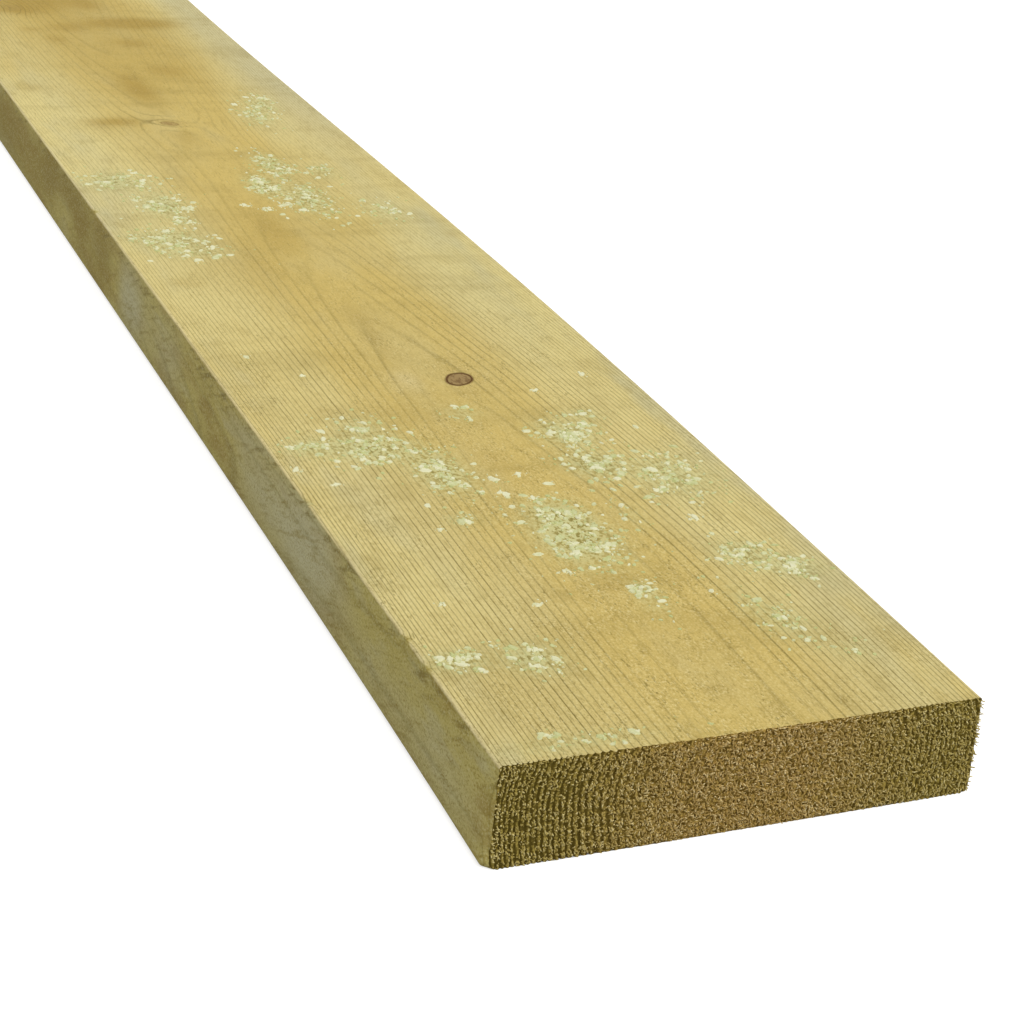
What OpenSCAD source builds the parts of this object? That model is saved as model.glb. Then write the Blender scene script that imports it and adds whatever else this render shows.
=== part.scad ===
// Treated softwood plank: one length of regularised carcassing timber, lying flat.
// It was split off thicker stock with a resaw, so the two upper arrises are nearly
// sharp and the two lower ones keep the rounding of the original planed section.
// Millimetres. X runs along the length, Y across the width, Z up through the
// thickness. The origin is at the middle of the underside.

/* [Sawn size] */
// Length, docked square at both ends
plank_length = 2400; // [600:100:6000]
// Width across the broad faces
plank_width = 225; // [75:1:300]
// Thickness between the broad faces
plank_thickness = 47; // [22:1:100]

/* [Arrises] */
// Radius of the two rounded lower arrises
lower_arris_radius = 4; // [1:0.5:8]
// Radius of the two resawn upper arrises
upper_arris_radius = 1; // [0.5:0.5:8]

/* [Hidden] */

// How far an arris cutter stands out past the wood, so that its cut is clean
cutter_overrun = 1;
// Facets of a full circle where an arris is drawn
arris_facets = 64;

// The waste between a square corner at the origin and its rounded arris.
// The wood lies towards +X and +Y.
module arris_waste(radius) {
    difference() {
        translate([-cutter_overrun, -cutter_overrun])
            square(radius + cutter_overrun);
        translate([radius, radius])
            circle(r = radius, $fn = arris_facets);
    }
}

// Cross-section: width along X, centred, and thickness along Y from the underside.
module section() {
    difference() {
        translate([-plank_width / 2, 0])
            square([plank_width, plank_thickness]);
        for (side = [0, 1])
            mirror([side, 0]) {
                translate([-plank_width / 2, 0])
                    arris_waste(lower_arris_radius);
                translate([-plank_width / 2, plank_thickness])
                    mirror([0, 1])
                        arris_waste(upper_arris_radius);
            }
    }
}

// The plank: its section run along the length between the two docked ends.
module plank() {
    color("#c4b172")
        rotate([90, 0, 90])
            linear_extrude(height = plank_length, center = true)
                section();
}

plank();
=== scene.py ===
# A length of treated softwood, lying flat, as it comes off the timber yard's rack.
import math

import bmesh
import bpy
import numpy as np
from mathutils import Matrix, Vector, noise


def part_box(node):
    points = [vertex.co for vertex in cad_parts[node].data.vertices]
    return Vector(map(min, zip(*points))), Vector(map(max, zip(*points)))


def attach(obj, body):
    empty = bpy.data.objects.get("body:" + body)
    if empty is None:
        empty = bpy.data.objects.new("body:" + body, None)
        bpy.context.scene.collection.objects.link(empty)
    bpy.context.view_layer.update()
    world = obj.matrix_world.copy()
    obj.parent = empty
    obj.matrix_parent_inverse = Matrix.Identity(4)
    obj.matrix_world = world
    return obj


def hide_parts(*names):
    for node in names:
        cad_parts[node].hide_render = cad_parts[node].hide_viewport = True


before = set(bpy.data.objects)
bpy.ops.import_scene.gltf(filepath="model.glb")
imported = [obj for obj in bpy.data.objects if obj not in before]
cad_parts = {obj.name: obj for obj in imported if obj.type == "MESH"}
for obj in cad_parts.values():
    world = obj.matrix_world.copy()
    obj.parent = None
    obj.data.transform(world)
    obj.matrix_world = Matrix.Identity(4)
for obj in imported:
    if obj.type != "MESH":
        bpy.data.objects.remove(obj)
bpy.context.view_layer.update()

# The plank: one sawn length of softwood, pressed full of green preservative. A resaw split it
# from thicker stock, so the upper arrises are nearly sharp and the lower ones keep the rounding
# of the planed section. A coarse saw docked both ends.
MM = 0.001
low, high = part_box("plank")
LENGTH = (high.x - low.x) / MM
WIDTH = (high.y - low.y) / MM
THICKNESS = (high.z - low.z) / MM
LOWER_ARRIS = 4.0
UPPER_ARRIS = 1.0
LOWER_ARRIS_STEPS = 6
UPPER_ARRIS_STEPS = 3

# Growth rings, in millimetres from the near end, across, and up. The pith wanders along the
# plank, so the rings come through the upper face as long arcs wherever it rises or dips.
PITH_MIDDLE = (0.0, -3.0, 7.0)
PITH_SWAY = (0.0, 9.0, 16.0)
PITH_WAVELENGTH = (1.0, 1500.0, 1500.0)
PITH_CROSSING = (0.0, -550.0, -375.0)
RINGS_PER_MM = 0.06
RINGS_PER_MM_SQUARED = 0.00185
RING_WARP = (0.2, 0.15, 0.12)
RING_WARP_LENGTH = (430.0, 75.0, 41.0)


def pith(x):
    """Place of the pith across and up, at a distance from the near end."""
    turns = [2 * math.pi * (x - PITH_CROSSING[i]) / PITH_WAVELENGTH[i] for i in (1, 2)]
    return [PITH_MIDDLE[i] + PITH_SWAY[i] * math.sin(turn) for i, turn in zip((1, 2), turns)]


def ring_count(x, y, z):
    """How many growth rings lie between the pith and a point of the wood."""
    across, up = pith(x)
    radius = math.hypot(y - across, z - up)
    warp = sum(size * math.sin(2 * math.pi * place / length)
               for size, place, length in zip(RING_WARP, (x, y, z), RING_WARP_LENGTH))
    return radius * (RINGS_PER_MM + RINGS_PER_MM_SQUARED * radius) + warp


# The section is a rectangle with rounded corners, swept along the length in closer steps over
# the half towards the near end, where the small marks on the upper face are.
UPPER_STEP = 4.5
OTHER_STEP = 9.0
FAR_STEP = 20.0
NEAR_STEP = 5.0
RIM = 2.5
# Places nearer to each other than this, in metres, count as the same.
NEARLY = 1e-6
body = bmesh.new()
places = [(low.y, low.z), (high.y, low.z), (high.y, high.z), (low.y, high.z)]
corners = [body.verts.new((low.x + RIM * MM, y, z)) for y, z in places]
body.faces.new(corners)
arrises = ((corners[:2], LOWER_ARRIS, LOWER_ARRIS_STEPS), (corners[2:], UPPER_ARRIS, UPPER_ARRIS_STEPS))
for pair, radius, segments in arrises:
    bmesh.ops.bevel(body, geom=pair, offset=radius * MM, offset_type="OFFSET", affect="VERTICES",
                    segments=segments, profile=0.5, material=-1)
bmesh.ops.delete(body, geom=body.faces[:], context="FACES_ONLY")
for edge in body.edges[:]:
    step = UPPER_STEP if min(vert.co.z for vert in edge.verts) > high.z - NEARLY else OTHER_STEP
    cuts = round(edge.calc_length() / (step * MM)) - 1
    if cuts > 0:
        bmesh.ops.subdivide_edges(body, edges=[edge], cuts=cuts)
rim = body.edges[:]
rims = {-1: rim}
for start, stop, step in ((-LENGTH / 2 + RIM, 0, FAR_STEP), (0, LENGTH / 2 - RIM, NEAR_STEP)):
    swept = bmesh.ops.extrude_edge_only(body, edges=rim)["geom"]
    moved = {part for part in swept if isinstance(part, bmesh.types.BMVert)}
    bmesh.ops.translate(body, verts=list(moved), vec=((stop - start) * MM, 0, 0))
    reached = {edge for vert in moved for edge in vert.link_edges}
    rim = [edge for edge in reached if moved.issuperset(edge.verts)]
    lengthwise = [edge for edge in reached if not moved.issuperset(edge.verts)]
    bmesh.ops.subdivide_edges(body, edges=lengthwise, cuts=round((stop - start) / step) - 1)
rims[1] = rim

# The resawn upper face isn't dead flat, and its arrises have lost small chips.
WAVINESS = 0.2
WAVE_LENGTH = 90.0
WAVE_WIDTH = 35.0
WAVE_NOISE = 3.0
CHIP_DEPTH = 1.5
# Chips: distance from the near end, side of the plank, and half length.
CHIPS = ((-76, -1, 6.0), (-101, -1, 5.5), (-233, -1, 6.0), (-655, -1, 6.0),
         (-1330, -1, 24.0), (-1790, 1, 26.0), (-2140, -1, 24.0))
for vert in body.verts:
    from_near = vert.co.x / MM - LENGTH / 2
    if vert.co.z > high.z - UPPER_ARRIS * MM - NEARLY:
        wave = noise.noise(Vector((from_near / WAVE_LENGTH, vert.co.y / MM / WAVE_WIDTH, WAVE_NOISE)))
        vert.co.z -= WAVINESS * MM * (0.5 + 0.5 * wave)
        to_edge = WIDTH / 2 - abs(vert.co.y) / MM
        for place, side, half_length in CHIPS:
            along = 1 - abs(from_near - place) / half_length
            if along > 0 and side * vert.co.y > 0 and to_edge < UPPER_ARRIS + NEARLY / MM:
                vert.co.z -= CHIP_DEPTH * along * MM
                vert.co.y -= side * CHIP_DEPTH * along * MM / 2

# Each docked end is a fine grid over the section. The saw tore the outer rings into upright
# ridges, and left the middle evenly rough.
GRID_ACROSS = 0.55
GRID_UP = 0.95
TEAR_DEPTH = 1.7
TEAR_GRAIN = 1.4
TEAR_NOISE = 7.0
FURROW_SHARE = 0.5
FURROW_SHARPNESS = 3
ROUGH_SHARE = 0.6
RIDGES_START = 38.0
RIDGES_FULL = 75.0
RIDGES_LEAST = 0.1
END_WAVER = 24.0
END_WAVER_RINGS = 0.35
END_WAVER_NOISE = 5.0
END_PLACE = {-1: -LENGTH, 1: 0.0}
SAW_EXIT_SIDE = 1
EXIT_BLUR = 0.6
# The saw leaned at the near end, so the underside runs on a little past the upper face.
OUT_OF_SQUARE = {-1: 0.0, 1: 1.2}


def rounded(y, z):
    """Draws a point of the square section in to the rounded arris at its corner."""
    lower = z < THICKNESS / 2
    radius = LOWER_ARRIS if lower else UPPER_ARRIS
    height = radius - z if lower else z - THICKNESS + radius
    side = abs(y) - WIDTH / 2 + radius
    if side <= 0 or height <= 0:
        return y, z
    pull = 1 - max(side, height) / math.hypot(side, height)
    return math.copysign(abs(y) - pull * side, y), z + pull * height * (1 if lower else -1)


def end_ridge(end, y, z):
    """How clearly ridges stand at a point of a docked end, and its place on one from 0 to 1."""
    waver = noise.noise(Vector((y / END_WAVER, z / END_WAVER, END_WAVER_NOISE * end)))
    count = ring_count(END_PLACE[end], y, z) + END_WAVER_RINGS * waver
    clear = min(1.0, max(RIDGES_LEAST, (abs(y) - RIDGES_START) / (RIDGES_FULL - RIDGES_START)))
    clear *= EXIT_BLUR if SAW_EXIT_SIDE * y > 0 else 1.0
    return clear, 0.5 + 0.5 * math.cos(2 * math.pi * count)


def tear(end, y, z):
    """How deep the saw tore the wood at a point of a docked end, in millimetres."""
    clear, ridge = end_ridge(end, y, z)
    rough = 0.5 + 0.5 * noise.noise(Vector((y / TEAR_GRAIN, z / TEAR_GRAIN, TEAR_NOISE * end)))
    furrow = FURROW_SHARE * clear * (1 - ridge) ** FURROW_SHARPNESS
    return TEAR_DEPTH * (furrow + ROUGH_SHARE * rough)


torn_depth = body.verts.layers.float.new("tear")
docked = []
for end in (-1, 1):
    flat = Matrix(((0, 0, 0, end * LENGTH / 2 * MM), (WIDTH * MM, 0, 0, 0),
                   (0, THICKNESS * MM, 0, THICKNESS / 2 * MM), (0, 0, 0, 1)))
    grid = bmesh.ops.create_grid(body, x_segments=round(WIDTH / GRID_ACROSS),
                                 y_segments=round(THICKNESS / GRID_UP), size=0.5)
    bmesh.ops.transform(body, matrix=flat, verts=grid["verts"])
    for vert in grid["verts"]:
        y, z = rounded(vert.co.y / MM, vert.co.z / MM)
        depth = tear(end, y, z)
        vert[torn_depth] = depth / TEAR_DEPTH
        lean = OUT_OF_SQUARE[end] * (1 - z / THICKNESS)
        vert.co = Vector((end * (LENGTH / 2 - depth + lean), y, z)) * MM
    faces = {face for vert in grid["verts"] for face in vert.link_faces}
    outline = [edge for edge in {edge for face in faces for edge in face.edges} if edge.is_boundary]
    for edge in outline:
        edge.smooth = False
    docked.extend(faces)
    bmesh.ops.bridge_loops(body, edges=outline + rims[end])
for face in docked:
    face.material_index = 1
for face in body.faces:
    face.smooth = True
bmesh.ops.recalc_face_normals(body, faces=body.faces[:])

# One flat chart for each half of each face, side by side in a square, so that a baked
# picture of the plank keeps about a millimetre of its grain to a dot.
CHART_GAP = 7.0
chart_map = body.loops.layers.uv.new("OFBake")
columns = {}
taken = CHART_GAP
for kind, width in (("upper", WIDTH), ("under", WIDTH), ("left", THICKNESS), ("right", THICKNESS)):
    for half in (0, 1):
        columns[kind, half] = taken
        taken += width + CHART_GAP
chart_size = max(taken + THICKNESS + CHART_GAP, LENGTH / 2 + 2 * CHART_GAP)
for face in body.faces:
    normal = face.normal
    half = int(face.calc_center_median().x > 0)
    for loop in face.loops:
        x, y, z = loop.vert.co / MM
        along = x - (half - 1) * LENGTH / 2 + CHART_GAP
        if face.material_index == 1:
            u, v = taken + z, y + WIDTH / 2 + CHART_GAP + half * (WIDTH + CHART_GAP)
        elif abs(normal.z) > abs(normal.y):
            u, v = columns["upper" if normal.z > 0 else "under", half] + y + WIDTH / 2, along
        else:
            u, v = columns["right" if normal.y > 0 else "left", half] + z, along
        loop[chart_map].uv = (u / chart_size, v / chart_size)

# The sawn plank isn't quite true. Its right edge wavers by a few millimetres, most at the top, and
# its lower left arris splays towards the near end. The distance from the middle before that is
# kept, for the colours that follow the edges.
EDGE_WAVER = 5.0
EDGE_WAVER_LENGTH = 1500.0
EDGE_WAVER_CREST = -450.0
EDGE_WAVER_MEAN = -1.5
EDGE_WAVER_BELOW = 0.1
EDGE_REACH = 80.0
SPLAY = 3.5
SPLAY_LENGTH = 150.0


def edge_drift(x, y, z):
    """How far the right edge draws a point across, in millimetres."""
    turn = 2 * math.pi * (x - EDGE_WAVER_CREST) / EDGE_WAVER_LENGTH
    near = np.clip(1 - (WIDTH / 2 - y) / EDGE_REACH, 0, 1)
    height = EDGE_WAVER_BELOW + (1 - EDGE_WAVER_BELOW) * z / THICKNESS
    return (EDGE_WAVER_MEAN + EDGE_WAVER * math.cos(turn)) * near ** 2 * height


def arris_splay(x, y, z):
    """How far the lower left arris spreads at a point of the long faces, in millimetres."""
    near = np.clip(1 - (WIDTH / 2 + y) / EDGE_REACH, 0, 1)
    return -SPLAY * math.exp(x / SPLAY_LENGTH) * (1 - z / THICKNESS) * near ** 2


aside = body.verts.layers.float.new("aside")
docked_verts = {vert for face in docked for vert in face.verts}
for vert in body.verts:
    x, y, z = vert.co.x / MM - LENGTH / 2, vert.co.y / MM, vert.co.z / MM
    vert[aside] = abs(y)
    spread = 0.0 if vert in docked_verts else arris_splay(x, y, z)
    vert.co.y += (edge_drift(x, y, z) + spread) * MM
plank_mesh = bpy.data.meshes.new("plank_wood")
body.to_mesh(plank_mesh)
body.free()

# Marks on the upper face: distance from the near end, across, half length, half width, in
# millimetres, and strength. Dried preservative clouds some places, and resin or wet stains
# darken others. A stain of negative strength is a place that dried paler.
RESIDUE = (
    (-79, -98, 8, 11, 0.9), (-74, -66, 12, 12, 0.8), (-10, -75, 6, 34, 0.4),
    (-172, 0, 27, 18, 1.0), (-195, 3, 16, 14, 0.7), (-284, -60, 16, 20, 0.9),
    (-290, -90, 10, 13, 0.7), (-252, -36, 23, 13, 0.95), (-285, 46, 16, 15, 0.9),
    (-246, 44, 15, 14, 0.9), (-305, 67, 8, 10, 0.5), (-228, 78, 22, 19, 0.75),
    (-142, 72, 12, 12, 0.8), (-125, 90, 10, 13, 0.8), (-118, 9, 9, 6, 0.7), (-103, 6, 10, 6, 0.3),
    (-80, 58, 16, 12, 0.5), (-102, 50, 16, 8, 0.25), (-318, 2, 9, 9, 0.45),
    (-312, -58, 12, 14, 0.35), (-201, -46, 6, 9, 0.5), (-190, 38, 16, 6, 0.3),
    (-50, 74, 8, 10, 0.3), (-712, -85, 18, 21, 0.7), (-662, -66, 20, 13, 0.95),
    (-630, -60, 8, 6, 0.6), (-597, -80, 18, 22, 0.75), (-572, -70, 9, 20, 0.5),
    (-697, 11, 22, 9, 1.0), (-742, 32, 24, 11, 0.85), (-668, 34, 32, 14, 0.8),
    (-725, 63, 16, 9, 0.5), (-640, 76, 20, 14, 0.4), (-890, 70, 20, 10, 0.7),
    (-858, 58, 22, 11, 0.6), (-1420, 40, 40, 22, 0.8), (-1385, -10, 26, 18, 0.5),
    (-1580, -60, 34, 20, 0.8), (-1850, 10, 42, 20, 0.7), (-1815, 48, 24, 16, 0.5),
    (-2130, -30, 38, 24, 0.8), (-2270, 64, 24, 18, 0.6),
)
STAINS = (
    (-50, -80, 70, 40, 0.45), (-130, 1, 16, 14, 0.5), (-258, -5, 25, 12, 0.35),
    (-330, -60, 10, 38, 0.25), (-222, 89, 12, 10, 0.2), (-415, -8, 30, 10, 0.3),
    (-615, -8, 55, 19, 0.45), (-715, -43, 16, 14, 0.3), (-807, -11, 32, 12, 0.4),
    (-832, -66, 20, 26, 0.25), (-590, 106, 10, 7, 0.4), (-522, -92, 9, 11, 0.3),
    (-730, 69, 25, 11, 0.2), (-460, -6, 30, 9, 0.3), (-843, -13, 6, 5, 0.5),
    (-848, -48, 11, 26, 0.65), (-930, -13, 45, 14, 0.6), (-982, 24, 20, 16, 0.35),
    (-1067, 17, 13, 14, 0.35), (-1132, 34, 16, 38, 0.85), (-1117, -24, 15, 18, 0.35),
    (-1080, -43, 14, 8, 0.3), (-1182, -56, 13, 14, 0.9), (-1200, 9, 20, 11, 0.45),
    (-937, -91, 12, 14, 0.3), (-1110, -56, 8, 8, 0.3), (-1330, -20, 60, 16, 0.4),
    (-1520, 28, 22, 15, 0.7), (-1660, 20, 40, 40, 0.3), (-1750, -70, 18, 30, 0.4),
    (-1965, -20, 24, 16, 0.8), (-2060, 50, 60, 16, 0.3), (-2240, -40, 30, 30, 0.4),
    (-1060, 0, 170, 130, 0.46), (-1215, -50, 50, 60, 0.95), (-545, -50, 70, 45, 0.4),
    (-364, -10, 18, 12, -0.45), (-846, -27, 9, 7, -0.5), (-860, -9, 7, 12, -0.45),
    (-829, -12, 6, 10, -0.4), (-540, -4, 24, 12, -0.35), (-361, 17.5, 24, 18, 0.35),
)
# Weathering of the left edge: distance from the near end, up, half length, half height, and
# strength. A positive one has a pale bluish bloom, and a negative one is dark and brown.
EDGE_WEATHER = (
    (-225, 26, 55, 28, 0.95), (-310, 22, 40, 26, 0.5), (-560, 22, 35, 24, 0.9),
    (-470, 22, 45, 24, 0.55), (-735, 10, 20, 10, 0.5), (-120, 12, 45, 14, 0.35),
    (-45, 14, 50, 16, 0.45), (-405, 25, 40, 25, -0.3), (-630, 28, 32, 26, -0.8),
    (-775, 40, 14, 16, -0.9), (-720, 38, 50, 18, -0.9), (-800, 28, 40, 24, -0.6),
    (-685, 20, 20, 20, -0.5), (-900, 24, 80, 26, -0.75), (-1020, 25, 80, 25, -0.75),
    (-70, 43, 45, 6, -0.55), (-140, 37, 22, 6, -0.4), (-1320, 22, 70, 24, 0.6),
    (-1480, 24, 60, 24, -0.6), (-1720, 22, 60, 24, 0.7), (-1900, 24, 70, 26, -0.5),
    (-2160, 22, 70, 22, 0.6),
)
UPPER_ZONE = 2.0
LEFT_ZONE = 3.0
spots = np.empty(len(plank_mesh.vertices) * 3)
plank_mesh.vertices.foreach_get("co", spots)
spots = spots.reshape(-1, 3) / MM - (LENGTH / 2, 0, 0)
upper = spots[:, 2] > THICKNESS - UPPER_ZONE
left = spots[:, 1] < LEFT_ZONE - WIDTH / 2
for name, marks, axis, where in (("residue", RESIDUE, 1, upper), ("stain", STAINS, 1, upper),
                                 ("weathered", EDGE_WEATHER, 2, left)):
    total = np.zeros(len(spots))
    for x, side, half_length, half_width, strength in marks:
        distance = ((spots[:, 0] - x) / half_length) ** 2 + ((spots[:, axis] - side) / half_width) ** 2
        total += strength * np.exp(-distance)
    total = np.clip(total, -1, 1) * where
    plank_mesh.attributes.new(name, "FLOAT", "POINT").data.foreach_set("value", total)


def linear(colour):
    """An sRGB hex colour as linear red, green, blue and alpha."""
    channels = [int(colour[i:i + 2], 16) / 255 for i in (1, 3, 5)]
    return [c / 12.92 if c <= 0.04045 else ((c + 0.055) / 1.055) ** 2.4 for c in channels] + [1.0]


def add(tree, kind, inputs, **settings):
    """Adds a node with its settings, fills or links its inputs, and returns its first output in use."""
    made = tree.nodes.new("ShaderNode" + kind)
    for name, value in settings.items():
        setattr(made, name, value)
    for key, value in inputs.items():
        socket = made.inputs[key] if isinstance(key, int) else next(
            s for s in made.inputs if s.enabled and s.name == key)
        if isinstance(value, bpy.types.NodeSocket):
            tree.links.new(value, socket)
        else:
            socket.default_value = value
    return next((s for s in made.outputs if s.enabled), None)


# Knots: distance from the near end, across, up, half length, half width, half depth, how far
# the oval is turned, and how much bark is left around it.
KNOTS = (
    (-361, 17.5, 47, 9.3, 7.0, 14, 42, 1.0), (-845, -12, 47, 14, 9, 14, -59, 0.05),
    (-842, -13, 47, 6.5, 4.5, 8, -59, 0.42), (-1182, -56, 47, 10, 8, 14, 0, 0.1),
    (-1520, 30, 47, 10, 8, 14, 15, 0.9), (-1965, -21, 47, 12, 9, 14, -10, 0.6),
    (-640, 25, 0, 10, 8, 14, 20, 0.8), (-1700, -35, 0, 13, 10, 14, 0, 0.9),
)
KNOT_REACH = 34.0
KNOT_WOBBLE = 0.22
KNOT_WOBBLE_SIZE = 7.0
BARK_BAND = (0.93, 1.02, 1.1, 1.27)
SWIRL_RINGS = 1.6
SWIRL_FALL = 0.22
SWIRL_CLEAR = 1.0

# The growth rings as a pattern all through the wood, shared by every face.
rings = bpy.data.node_groups.new("growth_rings", "ShaderNodeTree")
for name in ("Ring", "Ring number", "Core", "Bark", "Swirl"):
    rings.interface.new_socket(name=name, in_out="OUTPUT", socket_type="NodeSocketFloat")
rings.interface.new_socket(name="Place", in_out="OUTPUT", socket_type="NodeSocketVector")
coordinates = add(rings, "TexCoord", {}).node.outputs["Object"]
place = add(rings, "VectorMath", {0: coordinates, 1: (1 / MM,) * 3, 2: (-LENGTH / 2, 0, 0)},
            operation="MULTIPLY_ADD")
split = add(rings, "SeparateXYZ", {0: place}).node.outputs
along = add(rings, "CombineXYZ", {"X": split["X"], "Y": split["X"], "Z": split["X"]})
pace = [2 * math.pi / length for length in PITH_WAVELENGTH]
lag = [-cross * rate for cross, rate in zip(PITH_CROSSING, pace)]
sway = add(rings, "VectorMath", {0: along, 1: pace, 2: lag}, operation="MULTIPLY_ADD")
sway = add(rings, "VectorMath", {0: sway}, operation="SINE")
heart = add(rings, "VectorMath", {0: sway, 1: PITH_SWAY, 2: PITH_MIDDLE}, operation="MULTIPLY_ADD")
across = split["Y"]
wobble = add(rings, "TexNoise", {"Vector": place, "Scale": 1 / KNOT_WOBBLE_SIZE, "Detail": 2.0})
core = 0.0
bark = 0.0
swirls = 0.0
for x, y, z, half_length, half_width, half_depth, turned, barked in KNOTS:
    offset = add(rings, "VectorMath", {0: place, 1: (x, y, z)}, operation="SUBTRACT")
    oval = add(rings, "VectorRotate", {"Vector": offset, "Angle": math.radians(turned)},
               rotation_type="Z_AXIS")
    oval = add(rings, "VectorMath", {0: oval, 1: (1 / half_length, 1 / half_width, 1 / half_depth)},
               operation="MULTIPLY")
    distance = add(rings, "VectorMath", {0: oval}, operation="LENGTH").node.outputs["Value"]
    distance = add(rings, "Math", {0: wobble, 1: KNOT_WOBBLE, 2: distance}, operation="MULTIPLY_ADD")
    inside = add(rings, "MapRange", {0: distance, 1: BARK_BAND[1], 2: BARK_BAND[0], 3: 0, 4: barked})
    core = add(rings, "Math", {0: inside, 1: core}, operation="MAXIMUM")
    inner = add(rings, "MapRange", {0: distance, 1: BARK_BAND[0], 2: BARK_BAND[1], 3: 0, 4: barked})
    outer = add(rings, "MapRange", {0: distance, 1: BARK_BAND[3], 2: BARK_BAND[2], 3: 0, 4: 1})
    band = add(rings, "Math", {0: inner, 1: outer}, operation="MULTIPLY")
    bark = add(rings, "Math", {0: band, 1: bark}, operation="MAXIMUM")
    swirl = add(rings, "Math", {0: distance, 1: distance}, operation="MULTIPLY")
    swirl = add(rings, "Math", {0: swirl, 1: -SWIRL_FALL}, operation="MULTIPLY")
    swirl = add(rings, "Math", {0: swirl}, operation="EXPONENT")
    swirls = add(rings, "Math", {0: swirl, 1: SWIRL_RINGS * (1 - barked), 2: swirls},
                 operation="MULTIPLY_ADD")
    # The grain parts to go round the knot, and closes again a little way past it.
    reach = add(rings, "VectorMath", {0: offset, 1: (1 / KNOT_REACH, 0, 1 / KNOT_REACH)},
                operation="MULTIPLY")
    reach = add(rings, "VectorMath", {0: reach, 1: reach}, operation="DOT_PRODUCT").node.outputs["Value"]
    reach = add(rings, "Math", {0: reach, 1: -1}, operation="MULTIPLY")
    reach = add(rings, "Math", {0: reach}, operation="EXPONENT")
    side = add(rings, "SeparateXYZ", {0: offset}).node.outputs["Y"]
    square = add(rings, "Math", {0: side, 1: side}, operation="MULTIPLY")
    parted = add(rings, "Math", {0: reach, 1: half_width ** 2, 2: square}, operation="MULTIPLY_ADD")
    parted = add(rings, "Math", {0: parted}, operation="SQRT")
    parted = add(rings, "Math", {0: square, 1: parted}, operation="DIVIDE")
    sign = add(rings, "Math", {0: side}, operation="SIGN")
    parted = add(rings, "Math", {0: parted, 1: sign}, operation="MULTIPLY")
    shift = add(rings, "Math", {0: parted, 1: side}, operation="SUBTRACT")
    across = add(rings, "Math", {0: across, 1: shift}, operation="ADD")
section_place = add(rings, "CombineXYZ", {"Y": across, "Z": split["Z"]})
radius = add(rings, "VectorMath", {0: section_place, 1: heart}, operation="DISTANCE").node.outputs["Value"]
count = add(rings, "Math", {0: radius, 1: RINGS_PER_MM_SQUARED, 2: RINGS_PER_MM}, operation="MULTIPLY_ADD")
warp = add(rings, "VectorMath", {0: place, 1: [2 * math.pi / length for length in RING_WARP_LENGTH]},
           operation="MULTIPLY")
warp = add(rings, "VectorMath", {0: warp}, operation="SINE")
warp = add(rings, "VectorMath", {0: warp, 1: RING_WARP}, operation="DOT_PRODUCT").node.outputs["Value"]
count = add(rings, "Math", {0: radius, 1: count, 2: warp}, operation="MULTIPLY_ADD")
count = add(rings, "Math", {0: count, 1: swirls}, operation="ADD")
# Wavers of the rings: their lengths along, across and up, and how many rings they shift by.
WAVERS = (((170.0, 40.0, 40.0), 0.6), ((22.0, 5.0, 5.0), 0.1))
for lengths, shift in WAVERS:
    waver = add(rings, "VectorMath", {0: place, 1: [1 / length for length in lengths]},
                operation="MULTIPLY")
    waver = add(rings, "TexNoise", {"Vector": waver, "Scale": 1.0, "Detail": 2.0})
    count = add(rings, "Math", {0: waver, 1: shift, 2: count}, operation="MULTIPLY_ADD")
ends = rings.nodes.new("NodeGroupOutput")
rings.links.new(add(rings, "Math", {0: count}, operation="FRACT"), ends.inputs["Ring"])
rings.links.new(add(rings, "Math", {0: count}, operation="FLOOR"), ends.inputs["Ring number"])
rings.links.new(core, ends.inputs["Core"])
rings.links.new(bark, ends.inputs["Bark"])
rings.links.new(swirls, ends.inputs["Swirl"])
rings.links.new(place, ends.inputs["Place"])

# Pressure-treated pine, resawn above and planed on the other faces. Above it is a matt straw gold,
# warmer over the heart, with thin broken latewood lines and short torn fibres. The planed faces
# have taken up more copper and are a mottled olive with a bluish bloom. Their base olive is also
# painted darker than the upper face, as painted shade on faces turned from the overhead lamp.
SAPWOOD = "#dfcf8c"
HEARTWOOD = "#d1b86a"
BLOOM = "#c6bf92"
PALE_DRY_AND_HIGHLIGHT = "#dfd0a0"
RESIN_BROWN = "#a3842f"
GREY_BLOOM = "#cbc294"
LATEWOOD = "#75672a"
TORN_SHADOW = "#937e3a"
TORN_LIGHT = "#eadba0"
SPECK = "#5a4c26"
SHADED_PLANED_OLIVE = "#c2b466"
PLANED_BLUE = "#c8c49c"
PLANED_BROWN = "#a48d46"
PLANED_LIGHT = "#cbc38a"
PLANED_DARK = "#8f7a2e"
DRIP = "#6f6128"
CHALK = "#cfce94"
DAMP_GREEN = "#8a8140"
KNOT_WOOD = "#9c8252"
KNOT_DARK = "#73572f"
KNOT_BARK = "#553507"
softwood = bpy.data.materials.new("pressure_treated_pine")
softwood.use_nodes = True
tree = softwood.node_tree
tree.nodes.clear()
grown = add(tree, "Group", {}, node_tree=rings).node.outputs
spot = grown["Place"]
split = add(tree, "SeparateXYZ", {0: spot}).node.outputs
residue = add(tree, "Attribute", {}, attribute_name="residue").node.outputs["Fac"]
stain = add(tree, "Attribute", {}, attribute_name="stain").node.outputs["Fac"]
weathered = add(tree, "Attribute", {}, attribute_name="weathered").node.outputs["Fac"]
from_middle = add(tree, "Attribute", {}, attribute_name="aside").node.outputs["Fac"]

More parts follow.
